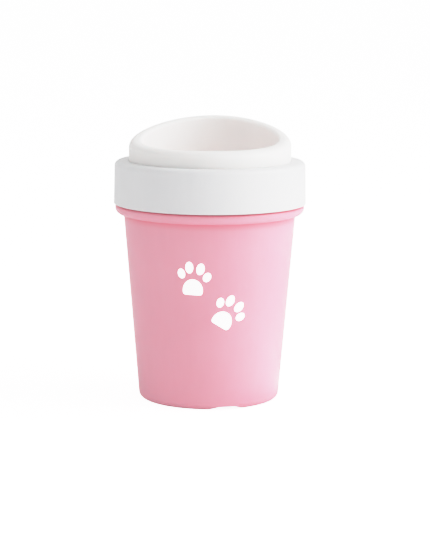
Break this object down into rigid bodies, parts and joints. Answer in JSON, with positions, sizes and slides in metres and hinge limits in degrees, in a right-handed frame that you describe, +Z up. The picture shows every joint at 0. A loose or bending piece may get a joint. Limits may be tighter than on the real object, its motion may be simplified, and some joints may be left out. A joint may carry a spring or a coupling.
{
  "type": "paw washer cup",
  "caption": "Paw washer cup: tapered plastic cup with printed paw marks, screw-on lid ring, mouth collar with a hollow rim and a lift-out cage of silicone bristle strips.",
  "frame": {"origin": "centre of the foot on the table, on the cup's axis", "axes": "+Z up along the cup, -Y towards the low side of the mouth, +Y towards its high side, +X to the right seen from the low side"},
  "size_m": [0.1, 0.1, 0.1452],
  "materials": {
    "cup_plastic": "satin",
    "print_ink": "matte",
    "frame_plastic": "satin",
    "bristle_silicone": "matte",
    "seal_silicone": "matte",
    "collar_plastic": "satin",
    "ring_plastic": "satin"
  },
  "bodies": {
    "cup": {"cup_body": "cup_plastic", "paw_print_upper": "print_ink", "paw_print_lower": "print_ink"},
    "brush": {"brush_frame": "frame_plastic", "brush_strip_1": "bristle_silicone", "brush_strip_2": "bristle_silicone", "brush_strip_3": "bristle_silicone", "brush_strip_4": "bristle_silicone", "brush_strip_5": "bristle_silicone", "brush_strip_6": "bristle_silicone", "brush_strip_7": "bristle_silicone", "brush_strip_8": "bristle_silicone"},
    "seal": {"lid_seal": "seal_silicone"},
    "mouth": {"mouth_collar": "collar_plastic"},
    "ring": {"lid_ring": "ring_plastic"}
  },
  "joints": [
    {"name": "brush_lift_out", "type": "slide", "parent": "cup", "child": "brush", "axis": [0, 0, 1], "range_m": [0, 0.118]},
    {"name": "lid_lift_off", "type": "slide", "parent": "brush", "child": "seal", "axis": [0, 0, 1], "range_m": [0, 0.05]},
    {"name": "lid_rise", "type": "slide", "parent": "seal", "child": "mouth", "axis": [0, 0, 1], "range_m": [0, 0.005]},
    {"name": "lid_turn", "type": "hinge", "parent": "mouth", "child": "ring", "pos_m": [0, 0, 0.113], "axis": [0, 0, 1], "range_deg": [0, 150]}
  ],
  "couplings": [
    {"joint": "lid_rise", "follows": "lid_turn", "m_per_rad": 0.0019099}
  ]
}
